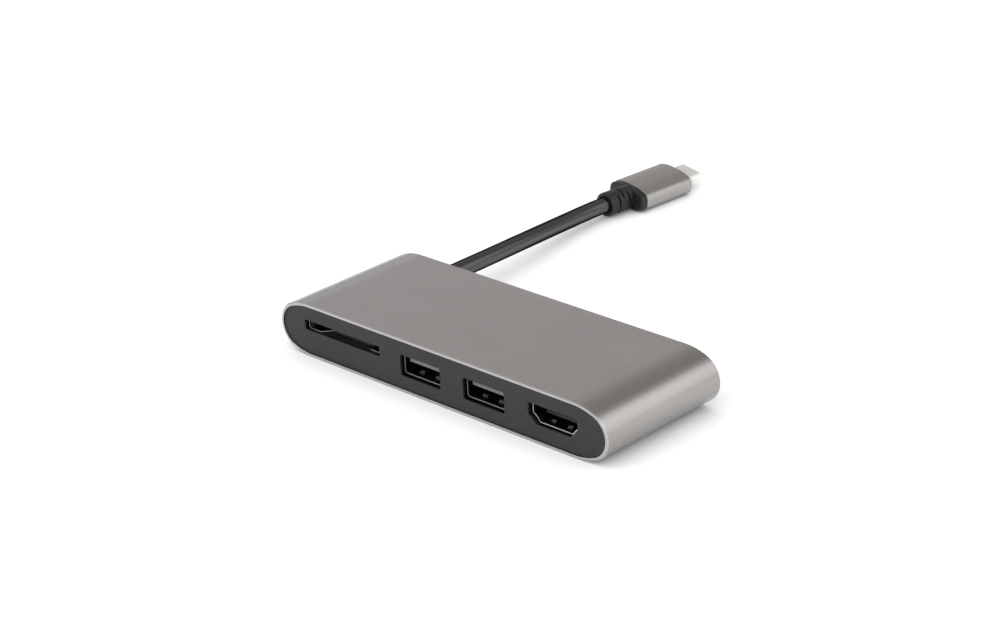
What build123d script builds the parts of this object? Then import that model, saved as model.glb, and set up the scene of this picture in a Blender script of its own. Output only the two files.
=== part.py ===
from build123d import *
import math
import os

# Slim multi-port USB hub: an aluminium sleeve with a plastic front panel, an inner
# tray and board, and a short fixed cable with a USB-C plug. Millimetres, +Z up, the
# ports face -Y, the cable leaves at +Y. Origin: bottom centre of the sleeve.

# Sleeve
body_width = 110.0
body_height = 14.6
body_depth = 40.4
body_flat_half = 44.3
body_nose_radius = 6.46
wall = 0.85
rim_chamfer = 0.25
mid_z = body_height / 2
front_y = -body_depth / 2
back_y = body_depth / 2

# End panels
seam = 0.08
panel_recess = 0.3
panel_thickness = 1.2
skirt_thickness = 0.9
skirt_depth = 3.0
panel_front = front_y + panel_recess
panel_back = panel_front + panel_thickness
port_front = panel_back + 0.05
rear_outer = back_y - panel_recess
rear_inner = rear_outer - panel_thickness

# Board and tray
board_z = 10.25
board_thickness = 1.0
board_top = board_z + board_thickness
board_half_width = 49.5
board_front = -18.6
board_back = 14.4
tray_half_length = 15.4
tray_wall = 0.9
boss_radius = 2.4
boss_hole_radius = 1.0
boss_positions = [(-15.6, -12.9), (26.4, -12.9), (-14.0, 11.0), (43.5, 10.0)]

# Openings in the front panel: a thin lip, then a wider pocket behind it
lip = 0.35
pocket_step = 0.45
pocket_front = panel_front + lip

# Sprung fingers and solder legs of the socket shells
finger_tilt = 4.5
finger_thickness = 0.26
leg_half = 0.6

# USB-A sockets
usb_x = (-5.57, 15.585)
usb_opening = (13.54, 5.64)
usb_opening_z = 7.18
usb_opening_radius = 0.6
usb_z = 7.45
usb_outer = (13.1, 5.6)
usb_corner = 0.85
usb_depth = 14.0
usb_shell_wall = 0.3
usb_tongue = (11.1, 1.84)
usb_tongue_top_gap = 0.51
usb_tongue_setback = 0.7
usb_finger_x = (-2.7, 2.7)
usb_leg_y = (-15.0, -8.6)

# HDMI socket: half profile as (offset from centre line, height)
hdmi_x = 37.75
hdmi_opening = [(7.7, 10.01), (7.7, 6.81), (7.05, 6.51), (5.3, 4.86)]
hdmi_inner = [(7.1, 9.92), (7.1, 7.06), (6.1, 6.49), (5.06, 5.22)]
hdmi_shell_wall = 0.3
hdmi_depth = 11.6
hdmi_tongue = (10.2, 1.1)
hdmi_tongue_z = 7.3
hdmi_tongue_setback = 2.0
hdmi_finger_x = {1: (-4.2, 4.2), -1: (-2.6, 2.6)}
hdmi_leg_y = (-15.4, -9.6)

# SD card socket; the notch lists (x, distance behind the socket's front)
sd_x = -32.97
sd_opening = (26.78, 2.7)
sd_opening_z = 8.61
sd_outer_width = 26.5
sd_corner = 0.9
sd_bottom = 7.1
sd_top = 10.22
sd_depth = 28.2
sd_card = (24.4, 2.2)
sd_sheet = 0.25
sd_floor = sd_bottom + sd_sheet + 0.03
sd_notch = [(-41.9, 0.0), (-39.8, 2.6), (-25.0, 2.6), (-24.3, 0.35), (-19.0, 0.35)]
sd_pads = [sd_x - 10.0 + 2.5 * k for k in range(9)]
shelf_x = (-43.4, -22.4)
shelf_front = -17.85
shelf_back = -14.6

# Cable
cable_radius = 2.33
cable_exit = (-41.8, 21.0, 7.3)
cable_route = [
    cable_exit,
    (-41.8, 38.0, 7.3),
    (-43.3, 55.0, 6.55),
    (-45.9, 70.5, 5.1),
    (-47.85, 83.0, 4.0),
]
cable_last_run = 5.0
cable_clearance = 0.02
grommet_neck_radius = 3.0
grommet_flange_radius = 3.9

# Plug: placed by the centre of its housing's rear rim; it leans on its +X edge
plug_position = (-47.33, 106.05, 3.66)
plug_yaw = -4.0
plug_pitch = -0.3
plug_roll = 7.94
plug_size = (13.5, 6.45)
plug_length = 18.3
plug_flat_half = 1.3
plug_nose_radius = 1.9
plug_side_half = 0.7
plug_wall = 0.8
plug_cap_thickness = 2.5
collar_length = 2.0
boot_radius = 3.44
boot_length = 10.4
boot_mouth_radius = 2.6
boot_recess = 1.1
slot_width = 0.54
slot_half_angle = 57
side_slots = (-7.4, -3.7)
top_slot = -5.55
usb_c_size = (8.25, 2.4)
usb_c_reach = 6.5
usb_c_wall = 0.22
usb_c_start = plug_length - 5.7

plug_turn = Rot(0, 0, plug_yaw) * Rot(plug_pitch, 0, 0) * Rot(0, plug_roll, 0)
plug_place = Pos(*plug_position) * plug_turn


# ---------------------------------------------------------------- helpers
def save(shape, node):
    solids = shape.solids()
    whole = solids[0] if len(solids) == 1 else Compound(children=list(solids))
    whole.label = node
    export_step(whole, f"parts/{node}.step")


def block(x_span, y_span, z_span):
    size = [b - a for a, b in (x_span, y_span, z_span)]
    centre = [(a + b) / 2 for a, b in (x_span, y_span, z_span)]
    return Pos(*centre) * Box(*size)


def rod(radius, x, z, y_span):
    length = y_span[1] - y_span[0]
    centre = Pos(x, (y_span[0] + y_span[1]) / 2, z)
    return centre * Rot(90, 0, 0) * Cylinder(radius, length)


def post(radius, x, y, z_span):
    length = z_span[1] - z_span[0]
    return Pos(x, y, (z_span[0] + z_span[1]) / 2) * Cylinder(radius, length)


def along_y(face, y_span):
    """A face drawn at y = 0 made into a bar between the two y values."""
    return extrude(Pos(0, y_span[0], 0) * face, y_span[1] - y_span[0], dir=(0, 1, 0))


def oval_face(size, flat_half, nose_radius, inset=0.0, centre_z=0.0, side_half=0.0):
    """Flat top and bottom, then a wide shoulder arc and a tighter nose arc. With a
    side_half, the nose is two arcs with a flat side between them."""
    half_w, half_h = size[0] / 2, size[1] / 2 - side_half
    run = half_w - flat_half
    shoulder = (run - nose_radius) ** 2 + half_h**2 - nose_radius**2
    shoulder = shoulder / (2 * (half_h - nose_radius))
    low, nose_x = half_h - shoulder, half_w - nose_radius
    turn = math.atan2(nose_x - flat_half, -low)
    r1, r2 = shoulder - inset, nose_radius - inset

    def at(cx, cz, r, angle, side=1, up=1):
        x, z = cx + r * math.sin(angle), cz + r * math.cos(angle)
        return (side * x, 0, centre_z + up * (z + side_half))

    def shoulder_arc(side, up):
        ends = [at(flat_half, low, r1, turn * k / 2, side, up) for k in range(3)]
        return ThreePointArc(*ends)

    def nose(side):
        turns = (turn, (turn + math.pi / 2) / 2, math.pi / 2)
        top, below = ([at(nose_x, 0, r2, t, side, up) for t in turns] for up in (1, -1))
        if side_half:
            return [ThreePointArc(*top), Line(top[2], below[2]), ThreePointArc(*below)]
        return [ThreePointArc(top[0], top[2], below[0])]

    edges = []
    for up in (1, -1):
        level = centre_z + up * (size[1] / 2 - inset)
        edges.append(Line((-flat_half, 0, level), (flat_half, 0, level)))
    for side in (1, -1):
        edges += [shoulder_arc(side, 1), *nose(side), shoulder_arc(side, -1)]
    return make_face(edges)


def body_bar(inset, y_span):
    size = (body_width, body_height)
    return along_y(oval_face(size, body_flat_half, body_nose_radius, inset, mid_z), y_span)


def plug_bar(inset, y_span):
    face = oval_face(plug_size, plug_flat_half, plug_nose_radius, inset, side_half=plug_side_half)
    return along_y(face, y_span)


def rounded_bar(width, height, radius, x, z, y_span):
    """Rounded rectangle lying in XZ, run along Y."""
    bar = block((x - width / 2, x + width / 2), y_span, (z - height / 2, z + height / 2))
    return fillet(bar.edges().filter_by(Axis.Y), radius)


def profile_bar(half_profile, x, y_span, grow=0.0):
    """Mirrored half profile in XZ, grown outwards on every side, run along Y."""
    right = [(x + dx, 0, z) for dx, z in half_profile]
    left = [(x - dx, 0, z) for dx, z in reversed(half_profile)]
    face = make_face(Polyline(*right, *left, close=True))
    if grow:
        face = offset(face, grow, kind=Kind.INTERSECTION)
    return along_y(face, y_span)


def sprung_finger(x, y_root, z_wall, side, length, width):
    """Finger rooted at its rear end, bent inwards, with its tip curled back out."""
    half_t = finger_thickness / 2
    straight = block((-width / 2, width / 2), (-length, 0.1), (-half_t, half_t))
    curl = block((-width / 2, width / 2), (-0.75, 0.05), (-half_t, half_t))
    finger = straight + Pos(0, -length, 0) * Rot(-side * 36, 0, 0) * curl
    return Pos(x, y_root, z_wall) * Rot(side * finger_tilt, 0, 0) * finger


# ---------------------------------------------------------------- enclosure
def make_sleeve():
    sleeve = body_bar(0, (front_y, back_y)) - body_bar(wall, (front_y, back_y))
    rims = []
    for edge in sleeve.edges():
        at_end = abs(abs(edge.center().Y) - back_y) < 1e-4
        box = edge.bounding_box()
        reach = max(abs(box.min.X), abs(box.max.X))
        tall = max(abs(box.max.Z - mid_z), abs(box.min.Z - mid_z))
        outer = tall > mid_z - 0.01 or reach > body_width / 2 - 0.01
        if at_end and outer:
            rims.append(edge)
    return chamfer(rims, rim_chamfer)


def panel_with_skirt(y_plate, y_skirt):
    inset = wall + seam
    skirt = body_bar(inset, y_skirt) - body_bar(inset + skirt_thickness, y_skirt)
    return body_bar(inset, y_plate) + skirt


def make_front_bezel():
    bezel = panel_with_skirt((panel_front, panel_back), (panel_back, panel_back + skirt_depth))
    for grow, y_start in ((0.0, panel_front - 1), (pocket_step, pocket_front)):
        span = (y_start, panel_back + 1)
        for x in usb_x:
            w, h = (size + 2 * grow for size in usb_opening)
            bezel -= rounded_bar(w, h, usb_opening_radius, x, usb_opening_z, span)
        bezel -= profile_bar(hdmi_opening, hdmi_x, span, grow)
        w, h = (size + 2 * grow for size in sd_opening)
        bezel -= rounded_bar(w, h, 0.3, sd_x, sd_opening_z, span)
    return bezel + make_card_shelf()


def make_card_shelf():
    """Ledge behind the card opening that carries the socket's steel sheet."""
    pocket_bottom = sd_opening_z - sd_opening[1] / 2 - pocket_step
    arm = block(shelf_x, (panel_back - 0.1, shelf_back), (pocket_bottom - 0.7, pocket_bottom - 0.05))
    return arm + block(shelf_x, (shelf_front, shelf_back), (pocket_bottom - 0.7, sd_bottom - 0.02))


def make_rear_cover():
    cover = panel_with_skirt((rear_inner, rear_outer), (rear_inner - skirt_depth, rear_inner))
    hole_radius = grommet_neck_radius + 0.04
    return cover - rod(hole_radius, cable_exit[0], cable_exit[2], (rear_inner - 1, rear_outer + 1))


def make_tray():
    span = (-tray_half_length, tray_half_length)
    outer = wall + 0.05
    shell = body_bar(outer, span) - body_bar(outer + tray_wall, span)
    tray = shell & block((-60, 60), span, (0, board_z - 0.05))
    floor_top = outer + tray_wall
    for x, y in boss_positions:
        tray += post(boss_radius, x, y, (floor_top - 0.4, board_z))
    for y in (-9.0, 0.0, 9.0):
        tray += block((-40, 40), (y - 0.4, y + 0.4), (floor_top - 0.4, floor_top + 1.0))
    for x, y in boss_positions:
        tray -= post(boss_hole_radius, x, y, (board_z - 7.0, board_z + 1))
    return tray


# ---------------------------------------------------------------- board
def socket_leg_spots():
    spots = []
    for x in usb_x:
        half = usb_outer[0] / 2 - usb_shell_wall / 2
        spots += [(x + s * half, y) for s in (-1, 1) for y in usb_leg_y]
    half = hdmi_inner[0][0] + hdmi_shell_wall / 2
    spots += [(hdmi_x + s * half, y) for s in (-1, 1) for y in hdmi_leg_y]
    return spots


def solder_leg(x, y, z_start, thickness):
    half = thickness / 2
    return block((x - half, x + half), (y - leg_half, y + leg_half), (z_start, board_top + 0.3))


def make_board():
    spans = ((-board_half_width, board_half_width), (board_front, board_back))
    board = block(*spans, (board_z, board_top))
    board = fillet(board.edges().filter_by(Axis.Z), 1.0)
    for x, y in boss_positions:
        board -= post(1.15, x, y, (board_z - 1, board_top + 1))
    for x, y in socket_leg_spots():
        board -= block((x - 0.4, x + 0.4), (y - 0.9, y + 0.9), (board_z - 1, board_top + 1))
    return board


def make_screws():
    screws = []
    for x, y in boss_positions:
        shank = post(0.95, x, y, (board_z - 5.0, board_top))
        head = fillet(post(1.9, x, y, (board_top, board_top + 1.3)).edges().group_by(Axis.Z)[-1], 0.5)
        drive = block((x - 1.0, x + 1.0), (y - 0.2, y + 0.2), (board_top + 0.7, board_top + 2))
        cross = block((x - 0.2, x + 0.2), (y - 1.0, y + 1.0), (board_top + 0.7, board_top + 2))
        screws.append(shank + head - drive - cross)
    return Compound(children=[s.solids()[0] for s in screws])


def chip(x, y, width, depth, height, chamfer_size=0.0):
    spans = [(v - size / 2, v + size / 2) for v, size in ((x, width), (y, depth))]
    body = block(*spans, (board_top, board_top + height))
    if chamfer_size:
        body = chamfer(body.edges().group_by(Axis.Z)[-1], chamfer_size)
    return body


def chip_group(spots, width, depth, height, chamfer_size=0.0):
    chips = [chip(x, y, width, depth, height, chamfer_size) for x, y in spots]
    return Compound(children=[c.solids()[0] for c in chips])


def make_leaded(spots, width, depth, height, pitch):
    """Small packages with three feet a side; feet and body in one solid each."""
    chips = []
    for x, y in spots:
        body = Pos(0, 0, 0.1) * chip(x, y, width, depth, height - 0.1)
        for side in (-1, 1):
            for k in (-1, 0, 1):
                foot_x = x + k * pitch
                reach = sorted((y + side * (depth / 2 - 0.1), y + side * (depth / 2 + 0.55)))
                body += block((foot_x - 0.2, foot_x + 0.2), reach, (board_top, board_top + 0.25))
        chips.append(body)
    return Compound(children=[c.solids()[0] for c in chips])


capacitor_spots = [(-8 + 2.4 * k, 9.8) for k in range(6)] + [(-9.5, -2 + 2.4 * k) for k in range(4)]
capacitor_spots += [(20 + 2.4 * k, 6.4) for k in range(5)] + [(-36.0, -4 + 2.4 * k) for k in range(3)]
resistor_spots = [(-8 + 2.0 * k, -6.2) for k in range(6)] + [(20 + 2.0 * k, -6.6) for k in range(5)]
resistor_spots += [(-31 + 2.0 * k, 6.6) for k in range(5)]


# ---------------------------------------------------------------- USB-A sockets
def usb_bar(x, inset, y_span):
    width, height = (size - 2 * inset for size in usb_outer)
    return rounded_bar(width, height, usb_corner - inset, x, usb_z, y_span)


def make_usb_shell(x):
    span = (port_front, port_front + usb_depth)
    t = usb_shell_wall
    shell = usb_bar(x, 0, span) - usb_bar(x, t, span)
    window = (port_front + 1.4, port_front + 7.6)
    for side in (-1, 1):
        z_wall = usb_z + side * (usb_outer[1] / 2 - t / 2)
        for dx in usb_finger_x:
            shell -= block((x + dx - 1.1, x + dx + 1.1), window, (z_wall - t, z_wall + t))
            shell += sprung_finger(x + dx, window[1], z_wall, side, 5.1, 1.6)
        wall_x = x + side * (usb_outer[0] / 2 - t / 2)
        for y in usb_leg_y:
            shell += solder_leg(wall_x, y, usb_z, t)
    return shell


def usb_tongue_bottom():
    inner_top = usb_z + usb_outer[1] / 2 - usb_shell_wall
    return inner_top - usb_tongue_top_gap - usb_tongue[1]


def make_usb_insulator(x):
    block_front = port_front + 9.6
    rear = usb_bar(x, usb_shell_wall + 0.05, (block_front, port_front + usb_depth))
    low = usb_tongue_bottom()
    tongue_span = (port_front + usb_tongue_setback, block_front + 0.5)
    half = usb_tongue[0] / 2
    tongue = block((x - half, x + half), tongue_span, (low, low + usb_tongue[1]))
    front = tongue.edges().group_by(Axis.Y)[0]
    return rear + chamfer(front, 0.3)


def make_usb_contacts(x):
    low = usb_tongue_bottom()
    pieces = []
    for dx in (-3.5, -1.0, 1.0, 3.5):
        span = (port_front + 2.2, port_front + 5.4)
        pieces.append(block((x + dx - 0.5, x + dx + 0.5), span, (low - 0.12, low)))
    for dx in (-4.0, -2.0, 0.0, 2.0, 4.0):
        span = (port_front + 6.6, port_front + 9.2)
        pieces.append(block((x + dx - 0.3, x + dx + 0.3), span, (low - 0.3, low)))
    back = port_front + usb_depth
    for k in range(9):
        tail_x = x - 4.8 + 1.2 * k
        up = block((tail_x - 0.2, tail_x + 0.2), (back, back + 0.25), (7.0, board_z))
        pieces.append(up)
    return Compound(children=[p.solids()[0] for p in pieces])


# ---------------------------------------------------------------- HDMI socket
def make_hdmi_shell():
    span = (port_front, port_front + hdmi_depth)
    t = hdmi_shell_wall
    shell = profile_bar(hdmi_inner, hdmi_x, span, t) - profile_bar(hdmi_inner, hdmi_x, span)
    window = (port_front + 1.3, port_front + 6.3)
    for side, finger_x in hdmi_finger_x.items():
        z_inner = hdmi_inner[0][1] if side > 0 else hdmi_inner[-1][1]
        z_wall = z_inner + side * t / 2
        for dx in finger_x:
            x = hdmi_x + dx
            shell -= block((x - 1.0, x + 1.0), window, (z_wall - t, z_wall + t))
            shell += sprung_finger(x, window[1], z_wall, side, 4.0, 1.4)
        for y in hdmi_leg_y:
            shell += solder_leg(hdmi_x + side * (hdmi_inner[0][0] + t / 2), y, 7.6, t)
    return shell


def make_hdmi_insulator():
    front = port_front + 7.6
    rear = profile_bar(hdmi_inner, hdmi_x, (front, port_front + hdmi_depth), -0.05)
    half_w, half_h = hdmi_tongue[0] / 2, hdmi_tongue[1] / 2
    tongue = block(
        (hdmi_x - half_w, hdmi_x + half_w),
        (port_front + hdmi_tongue_setback, front + 0.5),
        (hdmi_tongue_z - half_h, hdmi_tongue_z + half_h),
    )
    return rear + chamfer(tongue.edges().group_by(Axis.Y)[0], 0.25)


def make_hdmi_contacts():
    top, low = hdmi_tongue_z + hdmi_tongue[1] / 2, hdmi_tongue_z - hdmi_tongue[1] / 2
    span = (port_front + hdmi_tongue_setback + 0.7, port_front + 7.4)
    pieces = []
    for k in range(10):
        x = hdmi_x - 4.5 + k
        pieces.append(block((x - 0.2, x + 0.2), span, (low - 0.12, low)))
        if k < 9:
            pieces.append(block((x + 0.3, x + 0.7), span, (top, top + 0.12)))
    back = port_front + hdmi_depth
    for k in range(19):
        x = hdmi_x - 4.5 + 0.5 * k
        pieces.append(block((x - 0.12, x + 0.12), (back, back + 0.2), (7.0, board_z)))
    return Compound(children=[p.solids()[0] for p in pieces])


# ---------------------------------------------------------------- SD card socket
def make_sd_cover():
    """Folded steel sheet round the sides and underside of the card space."""
    half = sd_outer_width / 2
    span = (port_front, port_front + sd_depth)
    cover = sheet_tray(half, span, sd_bottom, sd_corner)
    cover -= sheet_tray(half - sd_sheet, span, sd_bottom + sd_sheet, sd_corner - sd_sheet)
    corners = [(x, port_front + back, sd_bottom - 1) for x, back in sd_notch]
    corners += [(sd_notch[k][0], port_front - 1, sd_bottom - 1) for k in (-1, 0)]
    notch = make_face(Polyline(*corners, close=True))
    cover -= extrude(notch, sd_sheet + 1.01, dir=(0, 0, 1))
    for dx in (-6.0, 6.0):
        x = sd_x + dx
        y = port_front + 8.0
        cover -= block((x - 2.0, x + 2.0), (y, y + 8.0), (sd_bottom - 1, sd_bottom + sd_sheet + 0.05))
        tab = block((x - 1.2, x + 1.2), (-6.8, 0.1), (-0.12, 0.12))
        cover += Pos(0, y + 8.0, sd_bottom + sd_sheet / 2) * Rot(-2.0, 0, 0) * tab
    return cover


def sheet_tray(half, span, low, corner):
    tray = block((sd_x - half, sd_x + half), span, (low, sd_top))
    return fillet(tray.edges().filter_by(Axis.Y).group_by(Axis.Z)[0], corner)


def make_sd_base():
    """Moulded frame: roof under the board, side rails and the card stop."""
    half = sd_outer_width / 2 - sd_sheet - 0.05
    roof_z = sd_floor + sd_card[1]
    span = (port_front + 0.5, port_front + sd_depth - 0.3)
    base = block((sd_x - half, sd_x + half), span, (sd_floor, sd_top))
    base = fillet(base.edges().filter_by(Axis.Y).group_by(Axis.Z)[0], sd_corner - sd_sheet - 0.05)
    card_half = sd_card[0] / 2
    card_span = (sd_x - card_half, sd_x + card_half)
    base -= block(card_span, (span[0] - 1, span[1] - 4.2), (sd_floor - 1, roof_z))
    for x in sd_pads:
        base -= block((x - 0.65, x + 0.65), (span[1] - 11.0, span[1] - 5.0), (roof_z - 0.1, sd_top + 1))
    return base


def make_sd_contacts():
    back = port_front + sd_depth - 0.3
    roof_z = sd_floor + sd_card[1]
    pieces = []
    for x in sd_pads:
        arm = block((x - 0.4, x + 0.4), (-5.6, 0.0), (-0.08, 0.08))
        pieces.append(Pos(0, back - 5.05, roof_z + 0.16) * Rot(5.0, 0, 0) * arm)
        pieces.append(block((x - 0.3, x + 0.3), (back, back + 0.9), (sd_top - 0.12, board_z)))
    return Compound(children=[p.solids()[0] for p in pieces])


# ---------------------------------------------------------------- cable at the hub
def make_grommet():
    x, z = cable_exit[0], cable_exit[2]
    flange = rod(grommet_flange_radius, x, z, (rear_outer, cable_exit[1]))
    flange = fillet(flange.edges().group_by(Axis.Y)[-1], 0.45)
    neck = rod(grommet_neck_radius, x, z, (rear_inner - 0.2, rear_outer + 0.2))
    inner_flange = rod(grommet_flange_radius, x, z, (rear_inner - 0.9, rear_inner))
    hole = rod(cable_radius + cable_clearance, x, z, (rear_inner - 3, back_y + 3))
    return flange + neck + inner_flange - hole


def make_inner_jacket():
    return rod(cable_radius, cable_exit[0], cable_exit[2], (15.3, cable_exit[1]))


def wire(points, bend, radius):
    path = FilletPolyline(*points, radius=bend)
    start = Plane(origin=path @ 0, z_dir=path % 0)
    return sweep(start * Circle(radius), path=path)


def make_wires():
    x, z = cable_exit[0], cable_exit[2]
    wires = []
    for row_z, up_y in ((z + 0.8, 13.3), (z - 0.8, 11.4)):
        for k in (-1, 0, 1):
            wire_x = x + 1.1 * k
            turn = (wire_x, up_y, row_z)
            wires.append(wire([(wire_x, 15.3, row_z), turn, (wire_x, up_y, board_z)], 0.9, 0.4))
    return Compound(children=[w.solids()[0] for w in wires])


def plug_point(y):
    moved = plug_place * Pos(0, y, 0)
    return tuple(moved.position)


def make_cable():
    end_y = boot_recess - boot_length
    points = [*cable_route, plug_point(end_y - cable_last_run), plug_point(end_y)]
    points = [Vector(*p) for p in points]
    radii = []
    for a, b, c in zip(points, points[1:], points[2:]):
        half_turn = math.radians((b - a).get_angle(c - b)) / 2
        shorter = min((b - a).length, (c - b).length)
        radii.append(0.45 * shorter / math.tan(half_turn))
    path = FilletPolyline(*points, radius=radii)
    start = Plane(origin=path @ 0, z_dir=path % 0)
    tube = sweep(start * Circle(cable_radius), path=path)
    ideal = math.pi * cable_radius**2 * path.length
    print("cable radii", [round(r, 1) for r in radii])
    print("cable length", round(path.length, 2), "volume ratio", round(tube.volume / ideal, 4))
    print("cable route", [tuple(round(v, 3) for v in p) for p in points])
    return tube


# ---------------------------------------------------------------- plug
def boot_slot(y, angle):
    """One cut a third of the way round the boot, centred on the given angle."""
    half = slot_width / 2
    ring = rod(boot_radius + 1, 0, 0, (y - half, y + half))
    ring -= rod(boot_radius - 0.8, 0, 0, (y - 1, y + 1))

    def corner(reach, turn):
        return (reach * math.cos(math.radians(turn)), 0, reach * math.sin(math.radians(turn)))

    far = 2 * boot_radius
    sides = [corner(far, angle + turn) for turn in (-slot_half_angle, slot_half_angle)]
    fan = [sides[0], corner(2 * far, angle), sides[1]]
    return ring & along_y(make_face(Polyline((0, 0, 0), *fan, close=True)), (y - 1, y + 1))


def make_strain_relief():
    collar = plug_bar(0.1, (-collar_length, 0))
    collar = fillet(collar.edges().group_by(Axis.Y)[0], 0.6)
    spigot = plug_bar(plug_wall + 0.05, (-0.1, 3.0))
    boot = rod(boot_radius, 0, 0, (-boot_length, -1.0))
    boot = fillet(boot.edges().group_by(Axis.Y)[0], 0.4)
    whole = collar + spigot + boot
    whole -= rod(boot_mouth_radius, 0, 0, (-boot_length - 1, -boot_length + boot_recess))
    for side_angle in (0, 180):
        for y in side_slots:
            whole -= boot_slot(y, side_angle)
        whole -= boot_slot(top_slot, side_angle + 90)
    return plug_place * whole


def make_plug_housing():
    outer = plug_bar(0, (0, plug_length))
    outer = fillet(outer.edges().group_by(Axis.Y)[-1], 0.5)
    return plug_place * (outer - plug_bar(plug_wall, (-1, plug_length + 1)))


def usb_c_bar(inset, y_span):
    w, h = (size - 2 * inset for size in usb_c_size)
    return rounded_bar(w, h, h / 2 - 0.01, 0, 0, y_span)


def make_plug_front_cap():
    front = plug_length - 0.2
    cap = plug_bar(plug_wall + 0.05, (front - plug_cap_thickness, front))
    return plug_place * (cap - usb_c_bar(-0.04, (usb_c_start, plug_length + 1)))


def make_usb_c_shell():
    span = (usb_c_start, plug_length + usb_c_reach)
    outer = usb_c_bar(0, span)
    outer = chamfer(outer.edges().group_by(Axis.Y)[-1], 0.08)
    return plug_place * (outer - usb_c_bar(usb_c_wall, (usb_c_start - 1, span[1] + 1)))


def make_usb_c_insulator():
    tip = plug_length + usb_c_reach - 0.25
    core = usb_c_bar(usb_c_wall + 0.03, (usb_c_start + 0.1, tip))
    slot = block((-3.4, 3.4), (plug_length + 0.8, tip + 1), (-0.4, 0.4))
    return plug_place * (core - slot)


def make_usb_c_contacts():
    pieces = []
    for k in range(12):
        x = -2.75 + 0.5 * k
        for z_span in ((0.3, 0.4), (-0.4, -0.3)):
            pieces.append(block((x - 0.13, x + 0.13), (plug_length + 1.2, plug_length + 5.2), z_span))
    return plug_place * Compound(children=[p.solids()[0] for p in pieces])


def make_plug_board():
    board = block((-4.6, 4.6), (3.3, usb_c_start - 0.1), (-0.4, 0.4))
    return plug_place * fillet(board.edges().filter_by(Axis.Z), 0.5)


# ---------------------------------------------------------------- write all
os.makedirs("parts", exist_ok=True)

save(make_sleeve(), "aluminium_sleeve")
save(make_front_bezel(), "front_bezel")
save(make_rear_cover(), "rear_cover")
save(make_tray(), "inner_tray")
save(make_board(), "main_board")
save(make_screws(), "board_screws")
for number, x in enumerate(usb_x, start=1):
    save(make_usb_shell(x), f"usb_a_{number}_shell")
    save(make_usb_insulator(x), f"usb_a_{number}_insulator")
    save(make_usb_contacts(x), f"usb_a_{number}_contacts")
save(make_hdmi_shell(), "hdmi_shell")
save(make_hdmi_insulator(), "hdmi_insulator")
save(make_hdmi_contacts(), "hdmi_contacts")
save(make_sd_cover(), "sd_cover")
save(make_sd_base(), "sd_base")
save(make_sd_contacts(), "sd_contacts")
save(chip(-1.0, 2.5, 9.0, 9.0, 0.85), "hub_controller_chip")
save(chip(26.0, 0.5, 7.0, 7.0, 0.85), "video_converter_chip")
save(chip(-27.0, 0.5, 5.0, 5.0, 0.8), "card_reader_chip")
save(make_leaded([(10.5, 9.5), (36.0, 9.5)], 2.9, 1.6, 1.1, 0.95), "voltage_regulators")
save(chip_group([(-1.0, -4.0), (26.0, -4.6)], 3.2, 2.5, 0.8, 0.12), "crystals")
save(chip_group([(10.5, 3.5), (36.5, 3.0)], 4.0, 4.0, 1.9, 0.3), "power_inductors")
save(chip_group(capacitor_spots, 1.6, 0.8, 0.8), "ceramic_capacitors")
save(chip_group(resistor_spots, 1.6, 0.8, 0.45), "chip_resistors")
save(chip_group([(-5.3, -9.0), (15.9, -9.0), (38.0, -8.0)], 2.5, 1.0, 0.55), "surge_arrays")
save(Pos(0, 0, 0.85) * chip(-1.0, 2.5, 8.6, 8.6, body_height - wall - board_top - 0.85), "thermal_pad")
save(make_grommet(), "cable_grommet")
save(make_inner_jacket(), "cable_inner_jacket")
save(make_wires(), "cable_wires")
save(make_cable(), "cable")
save(make_strain_relief(), "plug_strain_relief")
save(make_plug_housing(), "plug_housing")
save(make_plug_front_cap(), "plug_front_cap")
save(make_usb_c_shell(), "usb_c_shell")
save(make_usb_c_insulator(), "usb_c_insulator")
save(make_usb_c_contacts(), "usb_c_contacts")
save(make_plug_board(), "plug_board")
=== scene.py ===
import math

import bpy
from mathutils import Matrix, Vector


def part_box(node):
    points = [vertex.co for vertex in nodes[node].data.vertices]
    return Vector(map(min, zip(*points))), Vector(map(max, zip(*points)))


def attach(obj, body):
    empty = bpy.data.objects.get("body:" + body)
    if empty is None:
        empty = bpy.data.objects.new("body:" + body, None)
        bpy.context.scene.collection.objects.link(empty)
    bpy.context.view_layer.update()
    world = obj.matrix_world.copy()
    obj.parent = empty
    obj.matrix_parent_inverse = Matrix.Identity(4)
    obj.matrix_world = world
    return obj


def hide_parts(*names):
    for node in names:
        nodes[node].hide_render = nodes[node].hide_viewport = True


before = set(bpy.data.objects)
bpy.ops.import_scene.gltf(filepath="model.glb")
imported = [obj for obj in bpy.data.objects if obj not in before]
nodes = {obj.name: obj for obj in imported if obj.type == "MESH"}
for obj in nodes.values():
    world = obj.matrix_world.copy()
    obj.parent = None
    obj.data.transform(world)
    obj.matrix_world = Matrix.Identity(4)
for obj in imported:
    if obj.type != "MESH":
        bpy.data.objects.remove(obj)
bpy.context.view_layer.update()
MM = 0.001

# ------------------------------------------------------------------ camera and room
# View direction of the camera in degrees, and how far it stands from the foot of the
# middle of the hub's front face: sideways and upwards in its own picture, and back.
CAMERA_AZIMUTH = 44.513
CAMERA_ELEVATION = 24.057
CAMERA_ROLL = -2.674
CAMERA_DISTANCE = 627.245 * MM
CAMERA_SIDE = 15.144 * MM
CAMERA_RISE = 20.605 * MM
CAMERA_LENS = 93.734
CAMERA_SENSOR = 36
CAMERA_NEAR = 0.01

# The cable's route is part.py's: the control points of its NURBS line.
CABLE_RADIUS = 2.33 * MM
CABLE_ROUTE_MM = [
    (-41.8, 21.0, 7.3),
    (-41.8, 38.0, 7.3),
    (-43.3, 55.0, 6.55),
    (-45.9, 70.5, 5.1),
    (-47.85, 83.0, 4.0),
    (-48.328, 91.785, 3.735),
    (-47.979, 96.773, 3.709),
]


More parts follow.
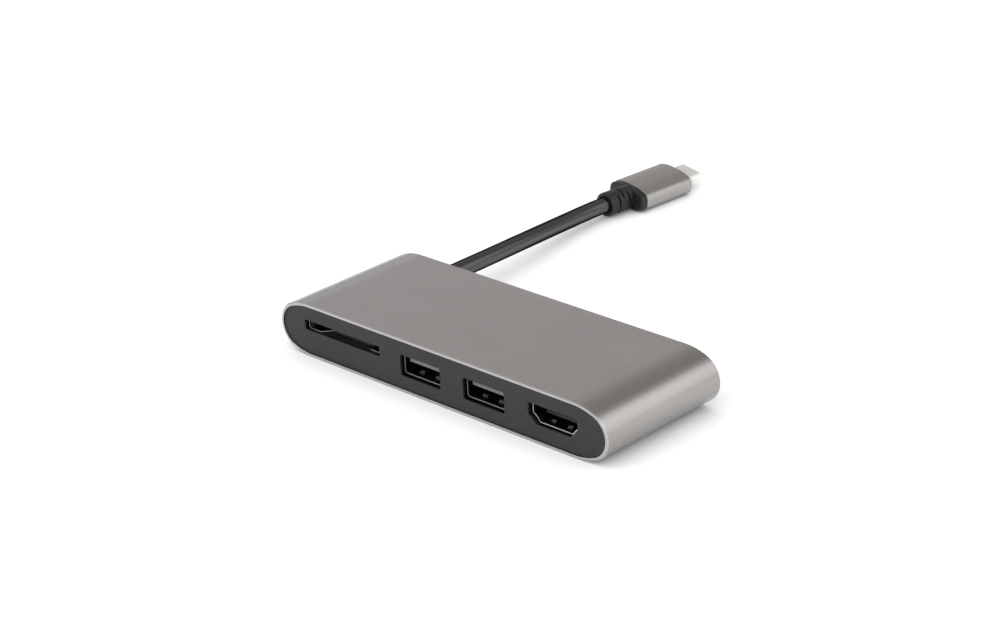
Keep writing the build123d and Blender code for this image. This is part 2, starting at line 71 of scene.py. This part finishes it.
def make_camera():
    low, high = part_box("aluminium_sleeve")
    pivot = Vector(((low.x + high.x) / 2, low.y, low.z))
    azimuth, elevation, roll = (
        math.radians(angle) for angle in (CAMERA_AZIMUTH, CAMERA_ELEVATION, CAMERA_ROLL)
    )
    level = Vector((math.cos(azimuth), math.sin(azimuth), 0))
    ahead = Vector((-math.sin(azimuth), math.cos(azimuth), 0))
    back = Vector((0, 0, 1)) * math.sin(elevation) - ahead * math.cos(elevation)
    upright = back.cross(level)
    right = level * math.cos(roll) + upright * math.sin(roll)
    up = upright * math.cos(roll) - level * math.sin(roll)
    data = bpy.data.cameras.new("camera")
    data.sensor_width = CAMERA_SENSOR
    data.lens = CAMERA_LENS
    data.clip_start = CAMERA_NEAR
    camera = bpy.data.objects.new("camera", data)
    bpy.context.scene.collection.objects.link(camera)
    eye = pivot + right * CAMERA_SIDE + up * CAMERA_RISE + back * CAMERA_DISTANCE
    turn = Matrix((right, up, back)).transposed()
    camera.matrix_world = Matrix.Translation(eye) @ turn.to_4x4()
    bpy.context.scene.camera = camera


class Graph:
    """A small helper that adds and joins shader nodes."""

    def __init__(self, tree):
        self.tree = tree

    def add(self, kind, inputs=None, **settings):
        node = self.tree.nodes.new(kind)
        for key, value in settings.items():
            setattr(node, key, value)
        for key, value in (inputs or {}).items():
            socket = node.inputs[key]
            if isinstance(value, bpy.types.NodeSocket):
                self.tree.links.new(value, socket)
            else:
                socket.default_value = value
        return node

    def math(self, operation, *values):
        return self.add("ShaderNodeMath", dict(enumerate(values)), operation=operation).outputs[0]

    def axes(self, kind):
        """X, Y and Z of the object coordinates in metres, or of the surface's normal."""
        coords = self.add("ShaderNodeTexCoord").outputs[kind]
        return self.add("ShaderNodeSeparateXYZ", {0: coords}).outputs

    def fade(self, value, low, high, to_low=0.0, to_high=1.0):
        """Smooth step of value from to_low at low to to_high at high."""
        inputs = {"Value": value, "From Min": low, "From Max": high, "To Min": to_low, "To Max": to_high}
        return self.add("ShaderNodeMapRange", inputs, interpolation_type="SMOOTHSTEP").outputs[0]

    def mix(self, factor, first, second):
        return self.add("ShaderNodeMix", {0: factor, 6: first, 7: second}, data_type="RGBA").outputs[2]

    def ramp(self, value, stops):
        node = self.add("ShaderNodeValToRGB", {"Fac": value})
        ramp = node.color_ramp
        while len(ramp.elements) < len(stops):
            ramp.elements.new(0.5)
        for element, (position, colour) in zip(ramp.elements, stops):
            element.position = position
            element.color = (*colour, 1)
        return node.outputs["Color"]


# What the metal mirrors: brightness and tint by the angle of a ray about the hub's
# depth axis, where -90 is level to the left, 0 straight up and 90 level to the right.
COOL = (0.98, 1.0, 1.04)
ROSE = (1.03, 0.985, 0.985)
STRAW = (1.0, 0.975, 0.90)
STUDIO_BANDS = [
    (-90, 0.25, COOL),
    (-82, 0.52, COOL),
    (-74, 0.95, COOL),
    (-64, 0.82, ROSE),
    (-57, 0.71, ROSE),
    (-50, 0.64, ROSE),
    (-42, 0.72, ROSE),
    (-33, 0.50, STRAW),
    (-10, 0.45, STRAW),
    (90, 0.45, ROSE),
]
# Soft light of the room on everything that is not glossy, and its lean to the front.
SOFT_LIGHT = 1.55
LIGHT_LEAN = (0.05, -0.45, 0.0)
FLOOR_WHITE = 0.83
FLOOR_HALF = 6.0

# A large soft box leans over the right end of the hub, from its top edge down to the
# floor, across and up in metres. It fades in below the edge, and off towards the back.
# Only glossy surfaces see it, so it leaves no shade on the floor behind it.
BOX_EDGE = (0.034, 0.335)
BOX_FOOT = (0.750, 0.0)
BOX_DEPTH = (-0.6, 1.2)
BOX_BRIGHT = 1.76
BOX_DIM = 0.45
BOX_FULL_HEIGHT = 0.235
BOX_FALL = (0.25, 0.85, 1.0, 0.40)


def make_world():
    """White to the camera, bands of light to glossy rays, and soft light to the rest."""
    world = bpy.data.worlds.new("studio")
    bpy.context.scene.world = world
    world.use_nodes = True
    world.node_tree.nodes.clear()
    g = Graph(world.node_tree)
    ray = g.add("ShaderNodeTexCoord").outputs["Generated"]
    part = g.add("ShaderNodeSeparateXYZ", {0: ray}).outputs
    angle = g.math("ARCTAN2", part["X"], part["Z"])
    along = g.math("MULTIPLY_ADD", angle, 0.5 / math.pi, 0.5)
    stops = [(turn / 360 + 0.5, tuple(bright * v for v in hue)) for turn, bright, hue in STUDIO_BANDS]
    dot = g.add("ShaderNodeVectorMath", {0: ray, 1: LIGHT_LEAN}, operation="DOT_PRODUCT")
    lean = dot.outputs["Value"]
    soft = g.math("MULTIPLY_ADD", lean, SOFT_LIGHT, SOFT_LIGHT)
    paths = g.add("ShaderNodeLightPath").outputs
    seen = g.mix(paths["Is Glossy Ray"], soft, g.ramp(along, stops))
    seen = g.mix(paths["Is Camera Ray"], seen, (1, 1, 1, 1))
    background = g.add("ShaderNodeBackground", {"Color": seen})
    g.add("ShaderNodeOutputWorld", {"Surface": background.outputs[0]})


def stage_sheet(name, corners):
    """One flat sheet of the studio, with an empty material to be filled in."""
    mesh = bpy.data.meshes.new(name)
    mesh.from_pydata(corners, [], [(0, 1, 2, 3)])
    sheet = bpy.data.objects.new(name, mesh)
    bpy.context.scene.collection.objects.link(sheet)
    material = bpy.data.materials.new(name)
    material.use_nodes = True
    material.node_tree.nodes.clear()
    mesh.materials.append(material)
    return sheet, Graph(material.node_tree)


def make_soft_box():
    (near, top), (far, low), (front, back) = BOX_EDGE, BOX_FOOT, BOX_DEPTH
    corners = [(near, front, top), (far, front, low), (far, back, low), (near, back, top)]
    box, g = stage_sheet("soft_box", corners)
    box.visible_camera = False
    box.visible_diffuse = False
    spot = g.axes("Object")
    bright = g.fade(spot["Z"], BOX_FULL_HEIGHT, top, BOX_BRIGHT, BOX_DIM)
    bright = g.math("MULTIPLY", bright, g.fade(spot["Y"], *BOX_FALL))
    glow = g.add("ShaderNodeEmission", {"Strength": bright})
    g.add("ShaderNodeOutputMaterial", {"Surface": glow.outputs[0]})


def make_floor():
    half = FLOOR_HALF
    g = stage_sheet("floor", [(-half, -half, 0), (half, -half, 0), (half, half, 0), (-half, half, 0)])[1]
    white = g.add("ShaderNodeBsdfDiffuse", {"Color": (*(FLOOR_WHITE,) * 3, 1)})
    g.add("ShaderNodeOutputMaterial", {"Surface": white.outputs[0]})


# ------------------------------------------------------------------ materials
MICRON = 1e-6
# Noise seldom leaves this range, so shades and roughness are spread over it.
NOISE_RANGE = (0.3, 0.7)


def new_material(name, colour, roughness, metallic=0.0, **extra):
    material = bpy.data.materials.new(name)
    material.use_nodes = True
    shader = material.node_tree.nodes["Principled BSDF"]
    shader.inputs["Base Color"].default_value = (*colour, 1)
    shader.inputs["Roughness"].default_value = roughness
    shader.inputs["Metallic"].default_value = metallic
    for key, value in extra.items():
        shader.inputs[key.replace("_", " ")].default_value = value
    return material, Graph(material.node_tree), shader


def place(g, scale=(1, 1, 1)):
    """Object coordinates in metres, stretched by scale."""
    coords = g.add("ShaderNodeTexCoord").outputs["Object"]
    return g.add("ShaderNodeMapping", {"Vector": coords, "Scale": scale}).outputs[0]


def noise(g, vector, scale, detail=3.0, roughness=0.55):
    inputs = {"Vector": vector, "Scale": scale, "Detail": detail, "Roughness": roughness}
    return g.add("ShaderNodeTexNoise", inputs).outputs["Fac"]


def bump(g, shader, height, strength, depth=30 * MICRON):
    node = g.add("ShaderNodeBump", {"Height": height, "Strength": strength, "Distance": depth})
    g.tree.links.new(node.outputs[0], shader.inputs["Normal"])


def shades(g, factor, dark, light):
    return g.ramp(factor, list(zip(NOISE_RANGE, (dark, light))))


def tint(g, shader, factor, dark, light):
    g.tree.links.new(shades(g, factor, dark, light), shader.inputs["Base Color"])


def rough(g, shader, factor, low, high):
    g.tree.links.new(g.fade(factor, *NOISE_RANGE, low, high), shader.inputs["Roughness"])


def anodised_aluminium(name, grain_scale, dark, light, low, high):
    """Satin anodised metal with a very fine grain drawn out along one direction."""
    m, g, s = new_material(name, light, low, metallic=1.0)
    grain = noise(g, place(g, grain_scale), 1.0, 4.0, 0.6)
    colour = shades(g, noise(g, place(g), 60.0, 2.0), dark, light)
    g.tree.links.new(colour, s.inputs["Base Color"])
    rough(g, s, grain, low, high)
    bump(g, s, grain, 0.028)
    return m, g, s, colour


def sleeve_metal():
    """Anodised, with its front and back edges cut bare and bright after that."""
    dark, light = (0.325, 0.312, 0.304), (0.345, 0.333, 0.325)
    bare, bare_width, blend = (0.44, 0.432, 0.427, 1), 0.27 * MM, 0.03 * MM
    m, g, s, colour = anodised_aluminium("sleeve_anodised", (60, 6000, 6000), dark, light, 0.25, 0.30)
    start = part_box("aluminium_sleeve")[1].y - bare_width
    cut = g.fade(g.math("ABSOLUTE", g.axes("Object")["Y"]), start, start + blend)
    g.tree.links.new(g.mix(cut, colour, bare), s.inputs["Base Color"])
    return m


def plug_metal():
    dark, light = (0.362, 0.348, 0.338), (0.384, 0.371, 0.361)
    return anodised_aluminium("plug_anodised", (6000, 60, 6000), dark, light, 0.40, 0.45)[0]


def moulded_plastic(name, dark, light, low, high, grain=6000.0, strength=0.15, **extra):
    """Moulded plastic with a fine spark-eroded texture."""
    m, g, s = new_material(name, dark, low, **extra)
    spark = noise(g, place(g), grain, 3.0, 0.6)
    cloud = noise(g, place(g), 220.0, 3.0)
    tint(g, s, cloud, dark, light)
    rough(g, s, spark, low, high)
    bump(g, s, spark, strength, 40 * MICRON)
    return m


def plated_metal(name, dark, light, low, high):
    """Plated sheet with faint rolling lines."""
    m, g, s = new_material(name, light, low, metallic=1.0)
    lines = noise(g, place(g, (4000, 200, 4000)), 1.0, 3.0)
    cloud = noise(g, place(g), 500.0, 3.0)
    tint(g, s, cloud, dark, light)
    rough(g, s, lines, low, high)
    bump(g, s, lines, 0.06, 20 * MICRON)
    return m


def cable_jacket():
    """Black rubber jacket; its gloss dies away where it turns from the eye."""
    m, g, s = new_material("cable_jacket", (0.010, 0.010, 0.0095), 0.28)
    facing = g.add("ShaderNodeLayerWeight", {"Blend": 0.5}).outputs["Facing"]
    gloss = g.fade(facing, 0.42, 0.62, 0.85, 0.0)
    g.tree.links.new(gloss, s.inputs["Specular IOR Level"])
    drag = noise(g, place(g, (1, 0.05, 1)), 3000.0)
    tint(g, s, drag, (0.008, 0.008, 0.0075), (0.012, 0.012, 0.0115))
    rough(g, s, drag, 0.18, 0.22)
    bump(g, s, drag, 0.03)
    return m


def socket_shell(name, node, rim, rim_depth=0.03 * MM):
    """Plated sheet with painted shade inside the socket: behind the front edge, and on faces that
    don't turn forwards, the plate is darkened. The faces that turn forwards are the cut front edge
    down to rim_depth, which is matt, and the springs behind it, which keep the bright plate colour
    as a painted glint."""
    # painted glint: faces inside that turn forwards get the bright plate colour
    painted_glint, blend = (0.85, 0.84, 0.82, 1), 0.06 * MM
    m, g, s = new_material(name, (0.12, 0.12, 0.115), 0.3, metallic=1.0)
    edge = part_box(node)[0].y + rim_depth
    inside = g.fade(g.axes("Object")["Y"], edge, edge + blend)
    aside = g.fade(g.axes("Normal")["Y"], -0.5, -0.05)
    # painted shade: the plate is darkened inside the socket, behind the front edge
    painted_shade = shades(g, noise(g, place(g), 900.0), (0.09, 0.09, 0.085), (0.14, 0.14, 0.135))
    colour = g.mix(aside, painted_glint, painted_shade)
    not_rim = g.math("MAXIMUM", inside, aside)
    g.tree.links.new(g.mix(not_rim, (*rim, 1), colour), s.inputs["Base Color"])
    g.tree.links.new(g.fade(not_rim, 0.0, 1.0, 0.60, 0.29), s.inputs["Roughness"])
    g.tree.links.new(g.fade(not_rim, 0.0, 1.0, 0.55, 1.0), s.inputs["Metallic"])
    return m


def circuit_board():
    """Green solder mask with copper tracks showing through as a lighter weave."""
    m, g, s = new_material("solder_mask", (0.01, 0.09, 0.035), 0.3,
                           Coat_Weight=0.4, Coat_Roughness=0.15)
    brick = g.add("ShaderNodeTexBrick", {"Vector": place(g), "Scale": 180.0, "Mortar Size": 0.018})
    for key, colour in (
        ("Color1", (0.008, 0.085, 0.032, 1)),
        ("Color2", (0.010, 0.105, 0.040, 1)),
        ("Mortar", (0.022, 0.20, 0.075, 1)),
    ):
        brick.inputs[key].default_value = colour
    g.tree.links.new(brick.outputs["Color"], s.inputs["Base Color"])
    weave = noise(g, place(g, (1, 1, 0.2)), 3500.0, 2.0)
    bump(g, s, weave, 0.12)
    return m


def coloured_wires():
    """Red, green and white insulation, by the cores' place across the cable."""
    red, green, white = (0.5, 0.03, 0.02), (0.02, 0.25, 0.05), (0.6, 0.58, 0.52)
    m, g, s = new_material("wire_insulation", (0.5, 0.05, 0.04), 0.38)
    centre, reach = CABLE_ROUTE_MM[0][0] * MM, 1.6 * MM
    across = g.fade(g.axes("Object")["X"], centre - reach, centre + reach)
    ramp = g.ramp(across, [(0.0, red), (0.36, green), (0.68, white)])
    ramp.node.color_ramp.interpolation = "CONSTANT"
    g.tree.links.new(ramp, s.inputs["Base Color"])
    bump(g, s, noise(g, place(g), 2500.0), 0.1)
    return m


def capacitor_ceramic():
    """Tan ceramic; the mottling is finer than the chip."""
    m, g, s = new_material("capacitor_ceramic", (0.36, 0.24, 0.14), 0.45)
    speck = noise(g, place(g), 5000.0, 4.0)
    tint(g, s, speck, (0.30, 0.19, 0.11), (0.42, 0.30, 0.19))
    bump(g, s, speck, 0.2)
    return m


def make_materials():
    plastic, plated, shell = moulded_plastic, plated_metal, socket_shell
    return {
        "sleeve_anodised": sleeve_metal(),
        "plug_anodised": plug_metal(),
        "panel": plastic("charcoal_panel", (0.0145, 0.0135, 0.014), (0.0185, 0.017, 0.018), 0.50, 0.62,
                         Specular_IOR_Level=0.4),
        "tray": plastic("tray_plastic", (0.020, 0.020, 0.021), (0.030, 0.030, 0.031), 0.45, 0.60),
        "nylon": plastic("black_nylon", (0.012, 0.012, 0.012), (0.020, 0.020, 0.020), 0.35, 0.50, 9000),
        "tongue": plastic("tongue_nylon", (0.11, 0.115, 0.118), (0.14, 0.145, 0.148), 0.35, 0.50, 9000,
                          0.1),
        "epoxy": plastic("chip_epoxy", (0.012, 0.012, 0.013), (0.022, 0.022, 0.023), 0.40, 0.60, 7000),
        "ferrite": plastic("ferrite", (0.06, 0.06, 0.065), (0.11, 0.11, 0.115), 0.60, 0.80, 5000, 0.3),
        "rubber": plastic("black_rubber", (0.011, 0.011, 0.0115), (0.016, 0.016, 0.016), 0.40, 0.50, 4000,
                          0.2, Specular_IOR_Level=0.3),
        "cable": cable_jacket(),
        "pad": plastic("silicone_pad", (0.28, 0.34, 0.42), (0.34, 0.40, 0.48), 0.60, 0.75, 3000, 0.3),
        "steel": plated("satin_steel", (0.80, 0.80, 0.77), (0.86, 0.86, 0.83), 0.66, 0.74),
        "zinc": plated("bright_zinc", (0.55, 0.56, 0.57), (0.66, 0.67, 0.68), 0.22, 0.34),
        "gold": plated("gold_flash", (0.78, 0.55, 0.22), (0.88, 0.66, 0.30), 0.14, 0.24),
        "usb_shell": shell("usb_socket_shell", "usb_a_1_shell", (0.25, 0.25, 0.245)),
        "hdmi_shell": shell("hdmi_socket_shell", "hdmi_shell", (0.55, 0.55, 0.54)),
        "sd_shell": shell("sd_socket_shell", "sd_cover", (0.40, 0.40, 0.39), 2.5 * MM),
        "board": circuit_board(),
        "wires": coloured_wires(),
        "ceramic": capacitor_ceramic(),
    }


NODE_MATERIALS = {
    "sleeve_anodised": ["aluminium_sleeve"],
    "plug_anodised": ["plug_housing"],
    "panel": ["front_bezel", "rear_cover"],
    "tray": ["inner_tray"],
    "nylon": ["hdmi_insulator", "sd_base", "plug_front_cap", "usb_c_insulator"],
    "tongue": ["usb_a_1_insulator", "usb_a_2_insulator"],
    "epoxy": ["hub_controller_chip", "video_converter_chip", "card_reader_chip", "voltage_regulators",
              "chip_resistors", "surge_arrays"],
    "ferrite": ["power_inductors"],
    "rubber": ["cable_grommet", "plug_strain_relief"],
    "cable": ["cable_inner_jacket", "cable"],
    "pad": ["thermal_pad"],
    "sd_shell": ["sd_cover"],
    "steel": ["usb_c_shell"],
    "usb_shell": ["usb_a_1_shell", "usb_a_2_shell"],
    "hdmi_shell": ["hdmi_shell"],
    "zinc": ["board_screws", "crystals"],
    "gold": ["usb_a_1_contacts", "usb_a_2_contacts", "hdmi_contacts", "sd_contacts", "usb_c_contacts"],
    "board": ["main_board", "plug_board"],
    "wires": ["cable_wires"],
    "ceramic": ["ceramic_capacitors"],
}


def dress_nodes(materials):
    for key, names in NODE_MATERIALS.items():
        for name in names:
            mesh = nodes[name].data
            mesh.materials.clear()
            mesh.materials.append(materials[key])


def make_cable(material):
    curve = bpy.data.curves.new("cable_flex", "CURVE")
    curve.dimensions = "3D"
    curve.bevel_depth = CABLE_RADIUS
    curve.bevel_resolution = 8
    curve.resolution_u = 24
    curve.use_fill_caps = True
    spline = curve.splines.new("NURBS")
    spline.points.add(len(CABLE_ROUTE_MM) - 1)
    for point, spot in zip(spline.points, CABLE_ROUTE_MM):
        point.co = (*(v * MM for v in spot), 1)
    spline.order_u = 3
    spline.use_endpoint_u = True
    curve.materials.append(material)
    cable = bpy.data.objects.new("cable_flex", curve)
    bpy.context.scene.collection.objects.link(cable)
    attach(cable, "root")
    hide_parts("cable")


def set_colours():
    view = bpy.context.scene.view_settings
    view.view_transform = "Standard"
    view.look = "None"


make_camera()
make_world()
make_floor()
make_soft_box()
materials = make_materials()
dress_nodes(materials)
make_cable(materials["cable"])
set_colours()
